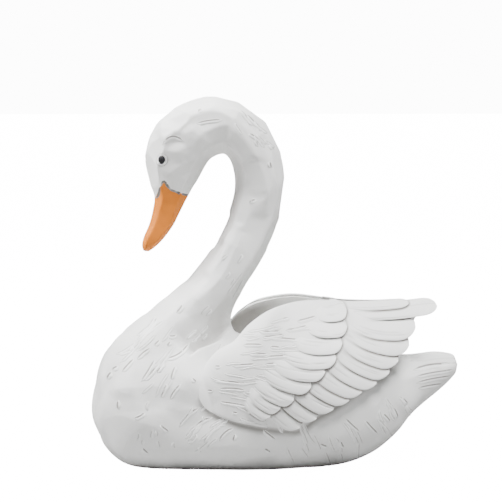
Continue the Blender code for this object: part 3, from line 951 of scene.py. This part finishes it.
def slab(raised, thickness, inset, share, rows, columns, edges=()):
    """A wing's backing or pad as a closed form, with its shoulder rounded into the breast."""
    (x, low, top), keep = wing_rows(share, rows)
    across = (1 - np.cos(np.linspace(0, np.pi, columns))) / 2
    world_x, bottom = place(x, low)
    _, crest = place(0, top)
    upper_line = np.stack([np.append(world_x[0], world_x), np.append(bottom[0], crest)], axis=1)
    lower_line = np.stack([world_x, bottom], axis=1)
    bottom, crest = (bottom + inset)[:, None], (crest - inset)[:, None]
    z = bottom + (crest - bottom) * across
    x = np.repeat(world_x[:, None], columns, axis=1)
    over, under = (np.abs(off_line(x, z, finer(line))) for line in (upper_line, lower_line))
    soft = 1 - fading(40, 50, x)
    outer = wing_face(x, z) - rounding(over, 0.003 + 0.011 * soft, 0.001 + 0.0075 * soft)
    outer -= rounding(under, 0.002, 0.0012)
    if raised:
        inside = off_line(x, z, polyline(((68.6, 52.0), *COVERT_TIPS, (47.0, 13.5), (47.3, 10.0))))
        outer += raised - 0.0010 * (1 - smooth_step(0.004, 0.016, inside))
        outer -= (raised + 0.0010) * (1 - smooth_step(0.0003, 0.003, inside))
    flat = np.stack([x.ravel(), np.zeros(x.size), z.ravel()], axis=1)
    tone = np.zeros(x.size)
    # Painted shadow on the pad under the coverts' free edges
    for edge in edges:
        shade_under_edge(flat, tone, edge, SEAM_WIDTH, 0.9)
    tone = tone.reshape(x.shape)
    if raised:
        tree, _ = body_marks()
        found = [tree.ray_cast((a, -0.1, b), (0, 1, 0))[0] for a, b in zip(x.ravel(), z.ravel())]
        body = np.array([0.0 if spot is None else -spot.y for spot in found])
        body = body.reshape(x.shape) - 0.00015
        melt = 0.0003 + 0.0055 * soft * smooth_step(0.002, 0.012, under)
        gap = np.clip(1 - np.abs(outer - body) / melt, 0, 1)
        outer = np.where(body > 0, np.maximum(outer, body) + gap**2 * melt / 4, outer)
    rooted = np.clip(1 - 1.25 * keep, 0, 1)[:, None]
    picked = slice(1, -1, 4)
    extra = (thickness[0] - thickness[1]) * rooted * (1 - across[picked])
    back_x, back_z = x[:, picked], z[:, picked]
    inner = np.minimum(wing_face(back_x, back_z) - thickness[1] - extra, outer[:, picked] - 0.001)
    face = np.stack([x, -outer, z], axis=2)
    backing = np.stack([back_x, -inner, back_z], axis=2)
    points, faces = closed_grid(np.concatenate([face, backing[:, ::-1]], axis=1))
    # Painted shade on the backing's inner face: at the shoulder in the hollow beside the neck, and
    # below the wing's crest further back
    painted_inner_shade = 0.85 * (1 - fading(38, 50, back_x))
    shaded = smooth_step(0.0010, 0.0035, wing_crest(back_x) - back_z)
    painted_inner_shade = np.maximum(painted_inner_shade, 0.75 * shaded * (1 - fading(44, 60, back_x)))
    values = np.concatenate([tone, painted_inner_shade[:, ::-1]], axis=1).ravel()
    return points, faces, np.append(values, [0, 0])


def shade_under_edge(flat, tone, edge, width, shade):
    """Paints shade on the points that lie close under a feather's free edge, as its shadow, more
    toward its tip.
    """
    close, away, along = near_path(flat, edge, width)
    corner = smooth_step(0.0, 0.35, along) * (1 - 0.55 * smooth_step(0.84, 0.93, along))
    dark = shade * (1 - (away / width) ** 2) * corner
    tone[close] = np.maximum(tone[close], dark)


def feather_outline(feather, bend, t, across):
    """World x and z of places on a feather: t along it to its tip, across it from -1 to 1."""
    tip_x, tip_z = place(*feather.tip)
    length = feather.length / 100 * LENGTH
    slope = np.radians(feather.slope)
    course = np.array([np.cos(slope), -np.sin(slope)])
    side = np.array([course[1], -course[0]])
    grown = 0.75 + 0.25 * np.sin(np.pi / 2 * np.clip(t / 0.6, 0, 1))
    breadth = grown * np.sqrt(np.maximum(1 - np.clip((t - 0.80) / 0.20, 0, 1) ** 3.0, 0.0004))
    off = across * breadth * feather.half_width / 100 * LENGTH + bend * length * 4 * t * (1 - t)
    x = tip_x - course[0] * length * (1 - t) + side[0] * off
    z = tip_z - course[1] * length * (1 - t) + side[1] * off
    return x, z


def free_edge(feather, bend):
    """The line of a feather's lower edge and round its tip, on the wing's plane."""
    along = np.concatenate([np.linspace(0.2, 0.8, 60), 1 - 0.2 * np.linspace(1, 0, 40) ** 2])
    x, z = feather_outline(feather, bend, along, 1.0)
    back = 1 - 0.12 * np.linspace(0, 1, 12) ** 2
    top_x, top_z = feather_outline(feather, bend, back, -1.0)
    x, z = np.append(x, top_x), np.append(z, top_z)
    return np.stack([x, x * 0, z], axis=1)


def feather_plate(feather, bend, lift, sink, rows, seed, edges=()):
    """One shingle on the wing, with its barbs: its lower edge stands out over the next feather.

    It lies `lift` above the wing's face and starts `sink` lower, so that it grows out of the pad.
    """
    chance = np.random.default_rng(seed)
    t = (1 - (1 - np.linspace(0, 1, rows)) ** 1.5)[:, None]
    across = np.linspace(-1, 1, 33)[None, :]
    across = across * (1.3 - 0.3 * across**2)
    x, z = feather_outline(feather, bend, t, across)
    z = np.where(x < place(66, 0)[0], np.minimum(z, wing_crest(x) - 0.0003), z)
    risen = smooth_step(0.0, 0.7, t)
    height = lift - sink * (1 - smooth_step(0.0, 0.4, t))
    height = height + risen * FEATHER_STEP * across / 2 + FEATHER_CROWN * (1 - across**2)
    rim = np.clip((np.abs(across) - 0.86) / 0.14, 0, 1)
    height = height - 0.0004 * (1 - np.sqrt(1 - rim**2 * 0.96))
    tone = np.zeros(height.shape)
    for _ in range(BARBS):
        barb, start = chance.uniform(-0.9, 0.9), chance.uniform(0.0, 0.7)
        end = start + chance.uniform(0.2, 0.6)
        bow = chance.uniform(-0.1, 0.1)
        deep = np.clip(np.minimum(t - start, end - t) * 10, 0, 1)
        deep = deep * np.clip(1 - np.abs(across - barb - bow * (t - start)) / 0.08, 0, 1)
        height = height - BARB_DEPTH * deep
        # Painted shade along the barbs' grooves
        tone = np.maximum(tone, BARB_TONE * deep)
    flat = np.stack([x.ravel(), np.zeros(x.size), z.ravel()], axis=1)
    tone = tone.ravel()
    # Painted shadow under the free edges of the feathers that lie over this one
    for edge, width, shade in edges:
        shade_under_edge(flat, tone, edge, width, shade)
    tone = tone.reshape(x.shape)
    outer = wing_face(x, z) + height
    face = np.stack([x, -outer, z], axis=2)
    backing = np.stack([x[:, ::8], FEATHER_THICKNESS - outer[:, ::8], z[:, ::8]], axis=2)
    points, faces = closed_grid(np.concatenate([face, backing[:, ::-1]], axis=1))
    values = np.concatenate([tone, np.zeros(backing.shape[:2])], axis=1).ravel()
    return points, faces, np.append(values, [0, 0])


def feather_row(tips, lengths, half_widths, slopes):
    """A row of overlapping feathers, from the uppermost to the lowest."""
    share = np.linspace(0, 1, len(tips))
    tables = (lengths, half_widths, slopes)
    sizes = [np.interp(share, np.linspace(0, 1, len(keys)), keys) for keys in tables]
    return [Feather(*row) for row in zip(tips, *sizes)]


def wing_forms(carving):
    """The closed forms of the wing at -Y: backing, pad, flight feathers and coverts."""
    flight_tips = through(FLIGHT_TIPS, np.linspace(0, len(FLIGHT_TIPS) - 1, FLIGHT_FEATHERS))
    flights = feather_row(flight_tips, FLIGHT_LENGTHS, FLIGHT_HALF_WIDTHS, FLIGHT_SLOPES)
    flights = [*TOP_FEATHERS, *flights]
    covert_tips = through(COVERT_TIPS, np.linspace(0, len(COVERT_TIPS) - 1, COVERTS))
    coverts = feather_row(covert_tips, COVERT_LENGTHS, COVERT_HALF_WIDTHS, COVERT_SLOPES)
    # Each covert's free edge, with the width and darkness of the painted shadow under it
    over = [(free_edge(covert, COVERT_BEND), 1.6 * SEAM_WIDTH, 1.0) for covert in coverts]
    thickness = (WING_PAD_THICKNESS, WING_PAD_THICKNESS)
    edges = [edge for edge, _, _ in over]
    pad = slab(WING_PAD_HEIGHT, thickness, WING_PAD_INSET, WING_PAD_SHARE, 170, 121, edges)
    thickness = (WING_ROOT_THICKNESS, WING_EDGE_THICKNESS)
    forms = [slab(0.0, thickness, WING_BACKING_INSET, 1.0, 60, 41), pad]
    tree = BVHTree.FromPolygons(pad[0].tolist(), [face.tolist() for face in pad[1]])
    forms += stroke_forms(tree, -1, carving, WING_STROKES, FAINT_WING_STROKES)
    for number, feather in enumerate(flights):
        bend = FLIGHT_BEND if number >= len(TOP_FEATHERS) else TOP_BEND
        forms.append(feather_plate(feather, bend, FLIGHT_LIFT, 0.001, 80, 100 + number, over))
        over = [*over, (free_edge(feather, bend), 1.2 * SEAM_WIDTH, 1.0)]
    over = []
    for number, covert in enumerate(coverts):
        lift, seed = WING_PAD_HEIGHT, 200 + number
        forms.append(feather_plate(covert, COVERT_BEND, lift, 0.0012, 56, seed, over))
        over = [*over, (free_edge(covert, COVERT_BEND), SEAM_WIDTH, 0.85)]
    return forms


def joined(forms):
    """One list of points, one of faces and one of tones for several closed forms."""
    points, faces, values, first = [], [], [], 0
    for form_points, form_faces, form_values in forms:
        points.append(form_points)
        values.append(form_values)
        faces.extend(face + first for face in form_faces)
        first += len(form_points)
    return np.vstack(points), faces, np.concatenate(values)


def paint_group():
    """Hand-laid matt paint: faint blotches, a fine tooth, painted shade in the hollows and a
    painted highlight on the lips.
    """
    group = bpy.data.node_groups.new("hand laid paint", "ShaderNodeTree")
    face = group.interface
    for name, way, kind in (
        ("Colour", "INPUT", "Color"),
        ("Shade", "INPUT", "Color"),
        ("Blotch", "INPUT", "Float"),
        ("Tooth", "INPUT", "Float"),
        ("Colour", "OUTPUT", "Color"),
        ("Roughness", "OUTPUT", "Float"),
        ("Height", "OUTPUT", "Float"),
    ):
        face.new_socket(name, in_out=way, socket_type="NodeSocket" + kind)
    nodes, links = group.nodes, group.links
    inside = nodes.new("NodeGroupInput")
    outside = nodes.new("NodeGroupOutput")
    where = nodes.new("ShaderNodeTexCoord")
    tone = nodes.new("ShaderNodeAttribute")
    tone.attribute_name = "tone"

    def noise(scale, detail, rough):
        made = nodes.new("ShaderNodeTexNoise")
        made.inputs["Scale"].default_value = scale
        made.inputs["Detail"].default_value = detail
        made.inputs["Roughness"].default_value = rough
        links.new(where.outputs["Object"], made.inputs["Vector"])
        return made.outputs["Fac"]

    def maths(operation, *values):
        made = nodes.new("ShaderNodeMath")
        made.operation = operation
        for socket, value in zip(made.inputs, values):
            if isinstance(value, (int, float)):
                socket.default_value = value
            else:
                links.new(value, socket)
        return made.outputs["Value"]

    def mix(kind, factor, first, second):
        made = nodes.new("ShaderNodeMix")
        made.data_type = "RGBA"
        made.blend_type = kind
        for key, value in (("Factor", factor), ("A", first), ("B", second)):
            socket = made.inputs[key]
            if isinstance(value, (int, float, tuple)):
                socket.default_value = value
            else:
                links.new(value, socket)
        return made.outputs["Result"]

    blotches = noise(55, 3, 0.6)
    tooth = noise(1400, 3, 0.7)
    strokes = noise(300, 2, 0.5)
    strength = inside.outputs["Blotch"]
    patchy = maths("MULTIPLY", maths("SUBTRACT", blotches, 0.5), strength)
    brushed = maths("SUBTRACT", strokes, 0.5)
    fine = maths("MULTIPLY", brushed, maths("MULTIPLY", strength, 0.5))
    level = maths("ADD", maths("ADD", patchy, fine), 1.0)
    grey = nodes.new("ShaderNodeCombineColor")
    for socket in grey.inputs:
        links.new(level, socket)
    varied = mix("MULTIPLY", 1.0, inside.outputs["Colour"], grey.outputs["Color"])
    # Painted shade: where the attribute is above 0 the shade colour is mixed in
    shade_share = maths("MAXIMUM", tone.outputs["Fac"], 0.0)
    shaded_colour = mix("MIX", shade_share, varied, inside.outputs["Shade"])
    # Painted highlight: where the attribute is below 0 a lighter white is mixed in
    highlight_share = maths("MAXIMUM", maths("MULTIPLY", tone.outputs["Fac"], -1.0), 0.0)
    highlighted_colour = mix("MIX", highlight_share, shaded_colour, LIP_HIGHLIGHT)
    links.new(highlighted_colour, outside.inputs["Colour"])
    links.new(maths("ADD", maths("MULTIPLY", strokes, 0.2), 0.45), outside.inputs["Roughness"])
    depth = inside.outputs["Tooth"]
    grain = maths("MULTIPLY", strokes, maths("MULTIPLY", depth, 1.5))
    height = maths("ADD", maths("MULTIPLY", tooth, depth), grain)
    links.new(height, outside.inputs["Height"])
    return group


def hand_paint(name, colour, shade, blotch=0.06, tooth=0.6):
    """A matt paint of this colour, with this shade colour laid as painted shade in its hollows."""
    group = bpy.data.node_groups.get("hand laid paint") or paint_group()
    made = bpy.data.materials.new(name)
    made.use_nodes = True
    nodes, links = made.node_tree.nodes, made.node_tree.links
    shader = nodes["Principled BSDF"]
    paint = nodes.new("ShaderNodeGroup")
    paint.node_tree = group
    paint.inputs["Colour"].default_value = (*colour, 1)
    paint.inputs["Shade"].default_value = (*shade, 1)
    paint.inputs["Blotch"].default_value = blotch
    paint.inputs["Tooth"].default_value = tooth
    bump = nodes.new("ShaderNodeBump")
    bump.inputs["Strength"].default_value = 0.35
    bump.inputs["Distance"].default_value = 0.0001
    links.new(paint.outputs["Height"], bump.inputs["Height"])
    links.new(bump.outputs["Normal"], shader.inputs["Normal"])
    links.new(paint.outputs["Colour"], shader.inputs["Base Color"])
    links.new(paint.outputs["Roughness"], shader.inputs["Roughness"])
    shader.inputs["Specular IOR Level"].default_value = 0.3
    return made


def white_paint():
    """The paint of the body and the wings."""
    colours, made = bpy.context.scene.swan_paint, bpy.data.materials.get("white paint")
    return made or hand_paint("white paint", colours.white, colours.shade)


def pale_floor():
    """A plain pale floor, which glows evenly for the camera and lights nothing by it."""
    made = bpy.data.materials.new("pale floor")
    made.use_nodes = True
    nodes, links = made.node_tree.nodes, made.node_tree.links
    shader = nodes["Principled BSDF"]
    shader.inputs["Base Color"].default_value = FLOOR_GREY
    shader.inputs["Roughness"].default_value = 1.0
    shader.inputs["Specular IOR Level"].default_value = 0.0
    glow = nodes.new("ShaderNodeEmission")
    glow.inputs["Strength"].default_value = GLOW
    path = nodes.new("ShaderNodeLightPath")
    dark = nodes.new("ShaderNodeEmission")
    dark.inputs["Strength"].default_value = 0.0
    seen = nodes.new("ShaderNodeMixShader")
    links.new(path.outputs["Is Camera Ray"], seen.inputs["Fac"])
    links.new(dark.outputs["Emission"], seen.inputs[1])
    links.new(glow.outputs["Emission"], seen.inputs[2])
    both = nodes.new("ShaderNodeAddShader")
    links.new(shader.outputs["BSDF"], both.inputs[0])
    links.new(seen.outputs["Shader"], both.inputs[1])
    links.new(both.outputs["Shader"], nodes["Material Output"].inputs["Surface"])
    return made


class SwanCarving(bpy.types.PropertyGroup):
    """How the surface is whittled"""

    facet_depth: FloatProperty(
        name="Facet depth", description="How deep the knife's flat cuts go",
        default=0.0009, unit="LENGTH", precision=5,
    )
    facet_reach: FloatProperty(
        name="Facet reach", description="How far a flat cut reaches from its middle",
        default=0.012, unit="LENGTH", precision=4,
    )
    facet_seed: IntProperty(
        name="Facet seed", description="Which scatter of cuts is used", default=7
    )
    patch_tilt: FloatProperty(
        name="Patch tilt", description="How much the body's broad cuts are tilted", default=0.08
    )
    stroke_width: FloatProperty(
        name="Stroke width", description="How wide the gouge's strokes are",
        default=0.0011, unit="LENGTH", precision=4,
    )
    stroke_lip: FloatProperty(
        name="Stroke lip", description="How high the lips stand along the strokes",
        default=0.00034, unit="LENGTH", precision=5,
    )
    border_width: FloatProperty(
        name="Bill border", description="How wide the dark line round the bill is",
        default=0.0007, unit="LENGTH", precision=4,
    )
    eye_radius: FloatProperty(
        name="Eye radius", description="Half the width of the eyes",
        default=0.0016, unit="LENGTH", precision=4,
    )


class SwanPaint(bpy.types.PropertyGroup):
    """The paints on the statue"""

    white: FloatVectorProperty(
        name="White", description="Paint of the body and wings",
        subtype="COLOR", default=(0.82, 0.82, 0.805),
    )
    # The colour of the painted shade in the carving's hollows and seams
    shade: FloatVectorProperty(
        name="Shade", description="Wash in the hollows of the carving",
        subtype="COLOR", default=(0.10, 0.085, 0.07),
    )
    orange: FloatVectorProperty(
        name="Orange", description="Paint of the bill",
        subtype="COLOR", default=(0.68, 0.19, 0.01),
    )
    black: FloatVectorProperty(
        name="Black", description="Paint of the eyes",
        subtype="COLOR", default=(0.01, 0.01, 0.012),
    )


class SWAN_OT_body(bpy.types.Operator):
    """Carve the bill, head, neck, body and tail as one casting"""

    bl_idname = "swan.body"
    bl_label = "Body"

    def execute(self, context):
        carving = context.scene.swan_carving
        skin, carved, tone = carved_body(carving)
        middles = body_shape()[1][skin.triangles].mean(axis=1)
        back, top = place(MUZZLE_BACK, MUZZLE_TOP)
        orange = (beyond_line(middles, BILL_LINE) > 0) & (middles[:, 2] > place(0, BILL_LOW)[1])
        orange &= (middles[:, 2] < top) & (middles[:, 0] < back)
        tree = BVHTree.FromPolygons(carved.tolist(), skin.triangles.tolist())
        strokes = (*HEAD_STROKES, *BREAST_STROKES, *TAIL_STROKES)
        border = polyline(BILL_LINE)
        wide = carving.border_width / 2
        forms = [(carved, [*skin.triangles], tone)]
        for side in (-1, 1):
            forms += stroke_forms(tree, side, carving, strokes, FAINT_STROKES)
            forms.append(gouged(tree, side, border, wide, BORDER_LIP, BORDER_TONE, border=True))
        points, faces, tone = joined(forms)
        orange = np.append(orange, np.zeros(len(faces) - len(orange), bool))
        colours = context.scene.swan_paint
        orange_paint = hand_paint("orange paint", colours.orange, ORANGE_SHADE, 0.25)
        paints = [white_paint(), orange_paint]
        casting(mesh_piece("swan_body", points, faces, paints, orange, tone=tone))
        return {"FINISHED"}


class SWAN_OT_wings(bpy.types.Operator):
    """Build both wings with their feathers"""

    bl_idname = "swan.wings"
    bl_label = "Wings"

    def execute(self, context):
        points, faces, tone = joined(wing_forms(context.scene.swan_carving))
        paint = white_paint()
        casting(mesh_piece("wing_left", points, faces, [paint], crease=45, tone=tone))
        mirrored = points * (1, -1, 1)
        mirrored[:, 2] -= RIGHT_WING_DROOP * fading(54, 66, mirrored[:, 0])
        faces = [face[::-1] for face in faces]
        casting(mesh_piece("wing_right", mirrored, faces, [paint], crease=45, tone=tone))
        return {"FINISHED"}


class SWAN_OT_eyes(bpy.types.Operator):
    """Set the two small black eyes"""

    bl_idname = "swan.eyes"
    bl_label = "Eyes"

    def execute(self, context):
        paint = context.scene.swan_paint
        skin, points, _ = body_shape()
        tree = BVHTree.FromPolygons(points.tolist(), skin.triangles.tolist())
        x, z = place(*EYE)
        radius = context.scene.swan_carving.eye_radius
        black = hand_paint("black paint", paint.black, BLACK_SHADE, 0.3, 0.2)
        for name, side in (("eye_left", -1), ("eye_right", 1)):
            spot, facing, _, _ = tree.ray_cast((x, side * 0.1, z), (0, -side, 0))
            facing = np.array(outward(facing, side))
            up = np.array((0.0, 0.0, 1.0)) - facing * facing[2]
            up /= np.linalg.norm(up)
            across = np.cross(up, facing)
            turn = np.linspace(0, 2 * np.pi, 40, endpoint=False)
            rings = []
            for share in np.linspace(0, 1, 12):
                lift = (EYE_BULGE + EYE_SINK) * (1 - share**2.4) - EYE_SINK
                rings.append([
                    np.array(spot) + facing * lift
                    + share * radius * (np.cos(a) * across + EYE_TALL * np.sin(a) * up)
                    for a in turn
                ])
            form_points, faces = closed_grid(np.array(rings[1:]))
            casting(mesh_piece(name, form_points, faces, [black]))
        return {"FINISHED"}


class SWAN_OT_stage(bpy.types.Operator):
    """Lay the floor and set the lights and the camera"""

    bl_idname = "swan.stage"
    bl_label = "Stage"

    def execute(self, context):
        mesh = bpy.data.meshes.new("floor")
        ends = (-FLOOR_HALF, FLOOR_HALF)
        mesh.from_pydata([(x, y, 0.0) for y in ends for x in ends], [], [(0, 1, 3, 2)])
        mesh.shade_smooth()
        mesh.materials.append(pale_floor())
        floor = bpy.data.objects.new("floor", mesh)
        context.scene.collection.objects.link(floor)
        for name, spot, size, power in LIGHTS:
            lamp = bpy.data.lights.new(name, "AREA")
            lamp.size = size
            lamp.energy = power
            made = bpy.data.objects.new(name, lamp)
            made.location = spot
            aim = np.array(LIGHTS_AIM) - np.array(spot)
            made.rotation_euler = (
                math.atan2(math.hypot(aim[0], aim[1]), -aim[2]),
                0,
                math.atan2(aim[1], aim[0]) - math.pi / 2,
            )
            context.scene.collection.objects.link(made)
        world = bpy.data.worlds.new("soft room")
        world.use_nodes = True
        nodes, links = world.node_tree.nodes, world.node_tree.links
        soft = nodes["Background"]
        soft.inputs["Color"].default_value = (1, 1, 1, 1)
        soft.inputs["Strength"].default_value = ROOM_LIGHT
        pale = nodes.new("ShaderNodeBackground")
        pale.inputs["Strength"].default_value = GLOW
        ray = nodes.new("ShaderNodeLightPath")
        both = nodes.new("ShaderNodeMixShader")
        links.new(ray.outputs["Is Camera Ray"], both.inputs["Fac"])
        links.new(soft.outputs["Background"], both.inputs[1])
        links.new(pale.outputs["Background"], both.inputs[2])
        links.new(both.outputs["Shader"], nodes["World Output"].inputs["Surface"])
        context.scene.world = world
        lens = bpy.data.cameras.new("camera")
        lens.sensor_width = CAMERA_SENSOR
        lens.lens = CAMERA_LENS
        camera = bpy.data.objects.new("camera", lens)
        camera.location = CAMERA_PLACE
        camera.rotation_euler = (math.radians(CAMERA_TILT), 0, math.radians(CAMERA_TURN))
        context.scene.collection.objects.link(camera)
        context.scene.camera = camera
        return {"FINISHED"}


class SWAN_PT_panel(bpy.types.Panel):
    """The steps that build the statue"""

    bl_idname = "SWAN_PT_panel"
    bl_label = "Swan statue"
    bl_space_type = "VIEW_3D"
    bl_region_type = "UI"
    bl_category = "Swan"

    def draw(self, context):
        for group in (context.scene.swan_carving, context.scene.swan_paint):
            for key in group.bl_rna.properties.keys():
                if key not in ("rna_type", "name"):
                    self.layout.prop(group, key)
        for operator in STEPS:
            self.layout.operator(operator.bl_idname)


STEPS = (SWAN_OT_body, SWAN_OT_wings, SWAN_OT_eyes, SWAN_OT_stage)
CLASSES = (SwanCarving, SwanPaint, *STEPS, SWAN_PT_panel)


def register():
    """Makes the steps, their settings and their panel known to Blender."""
    for made in CLASSES:
        bpy.utils.register_class(made)
    bpy.types.Scene.swan_carving = PointerProperty(type=SwanCarving)
    bpy.types.Scene.swan_paint = PointerProperty(type=SwanPaint)


def unregister():
    """Takes them away again."""
    del bpy.types.Scene.swan_paint
    del bpy.types.Scene.swan_carving
    for made in reversed(CLASSES):
        bpy.utils.unregister_class(made)


def main():
    """Builds the statue and its stage."""
    register()
    bpy.ops.swan.body()
    bpy.ops.swan.wings()
    bpy.ops.swan.eyes()
    bpy.ops.swan.stage()


if __name__ == "__main__":
    main()
